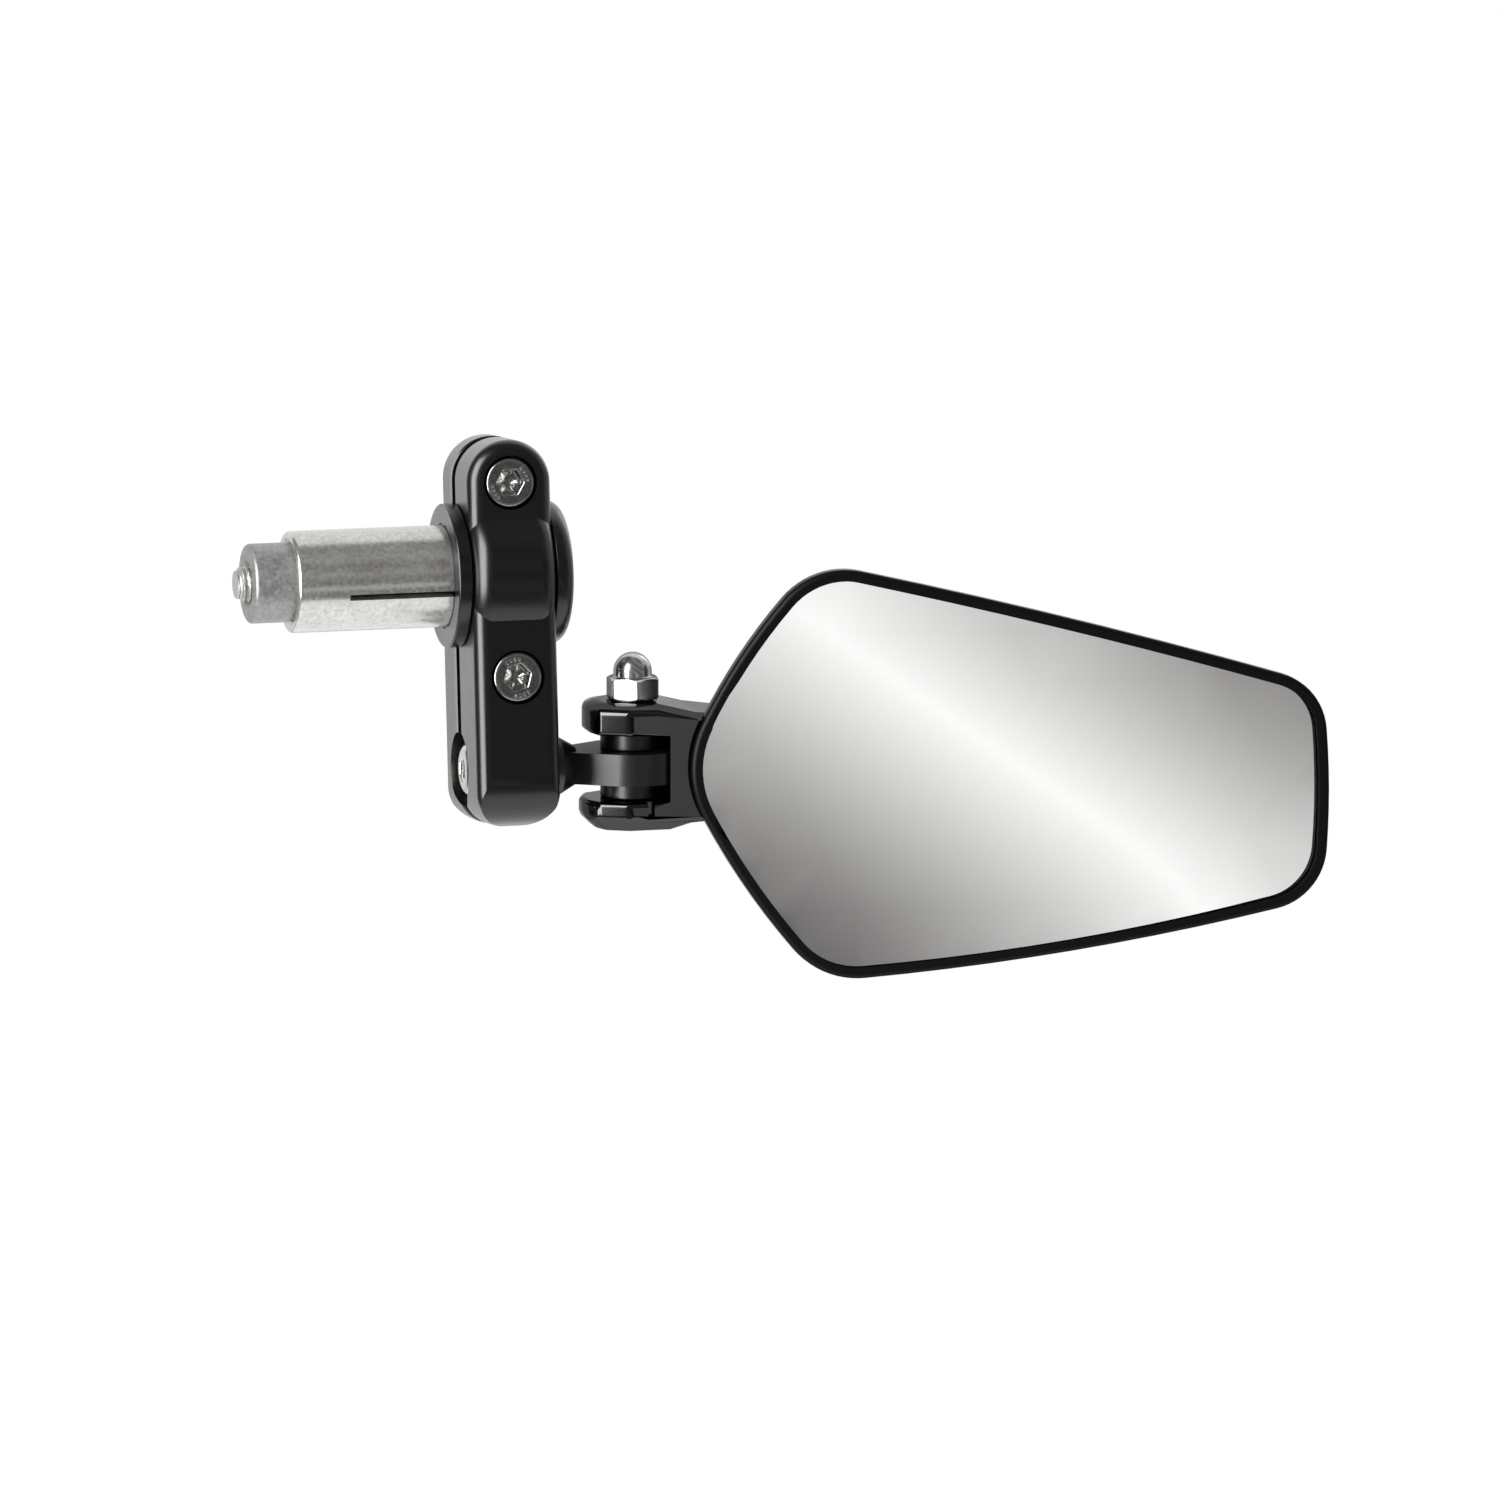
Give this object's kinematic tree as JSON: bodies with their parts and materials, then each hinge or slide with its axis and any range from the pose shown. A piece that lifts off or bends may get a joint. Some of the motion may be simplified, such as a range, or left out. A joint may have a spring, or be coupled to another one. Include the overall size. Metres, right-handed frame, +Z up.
{
  "type": "bar end mirror",
  "caption": "Bar end mirror with an expanding handlebar plug, a split clamp that turns on it, a swivel arm and a folding convex mirror in a pentagonal housing.",
  "frame": {"origin": "centre of the flange face that meets the end of the handlebar, on the handlebar's axis", "axes": "+X along the handlebar and outboard, +Z up, and the rider looks along +Y into the glass"},
  "size_m": [0.185, 0.03, 0.0925],
  "materials": {
    "dull_zinc": "dull plated, slightly mottled",
    "satin_steel": "satin",
    "bright_steel": "bright plated",
    "black_anodised": "semi-gloss black",
    "black_spacer": "satin black",
    "bronze_bush": "turned",
    "foam_pad": "matt",
    "mirror_glass": "polished"
  },
  "bodies": {
    "bar_plug": {"expander_sleeve": "dull_zinc", "spool": "black_anodised", "plug_washer": "satin_steel"},
    "plug_bolt": {"plug_bolt": "satin_steel"},
    "wedge_nut": {"wedge_nut": "satin_steel"},
    "clamp": {"clamp_front": "black_anodised", "clamp_rear": "black_anodised", "clamp_screw_upper": "bright_steel", "clamp_screw_lower": "bright_steel"},
    "arm": {"swivel_arm": "black_anodised", "swivel_bolt": "bright_steel", "swivel_washer": "satin_steel", "hinge_bush": "bronze_bush", "upper_spacer": "black_spacer", "lower_spacer": "black_spacer"},
    "head": {"mirror_housing": "black_anodised", "glass_pad": "foam_pad", "mirror_glass": "mirror_glass", "hinge_bolt": "satin_steel", "hinge_spring_washer": "satin_steel", "acorn_nut": "bright_steel"}
  },
  "joints": [
    {"name": "clamp_turn", "type": "hinge", "parent": "bar_plug", "child": "clamp", "pos_m": [0, 0, 0], "axis": [1, 0, 0], "continuous": true},
    {"name": "arm_swivel", "type": "hinge", "parent": "clamp", "child": "arm", "pos_m": [0, -0.00181, -0.03249], "axis": [1, 0, 0], "continuous": true},
    {"name": "mirror_fold", "type": "hinge", "parent": "arm", "child": "head", "pos_m": [0.032, -0.00181, -0.03249], "axis": [0, 0, 1], "range_deg": [-70, 70]},
    {"name": "bolt_turn", "type": "hinge", "parent": "bar_plug", "child": "plug_bolt", "pos_m": [0, 0, 0], "axis": [1, 0, 0], "range_deg": [0, 1081]},
    {"name": "wedge_slide", "type": "slide", "parent": "bar_plug", "child": "wedge_nut", "axis": [-1, 0, 0], "range_m": [0, 0.003]}
  ],
  "couplings": [
    {"joint": "bolt_turn", "follows": "wedge_slide", "rad_per_m": 6283.2}
  ]
}
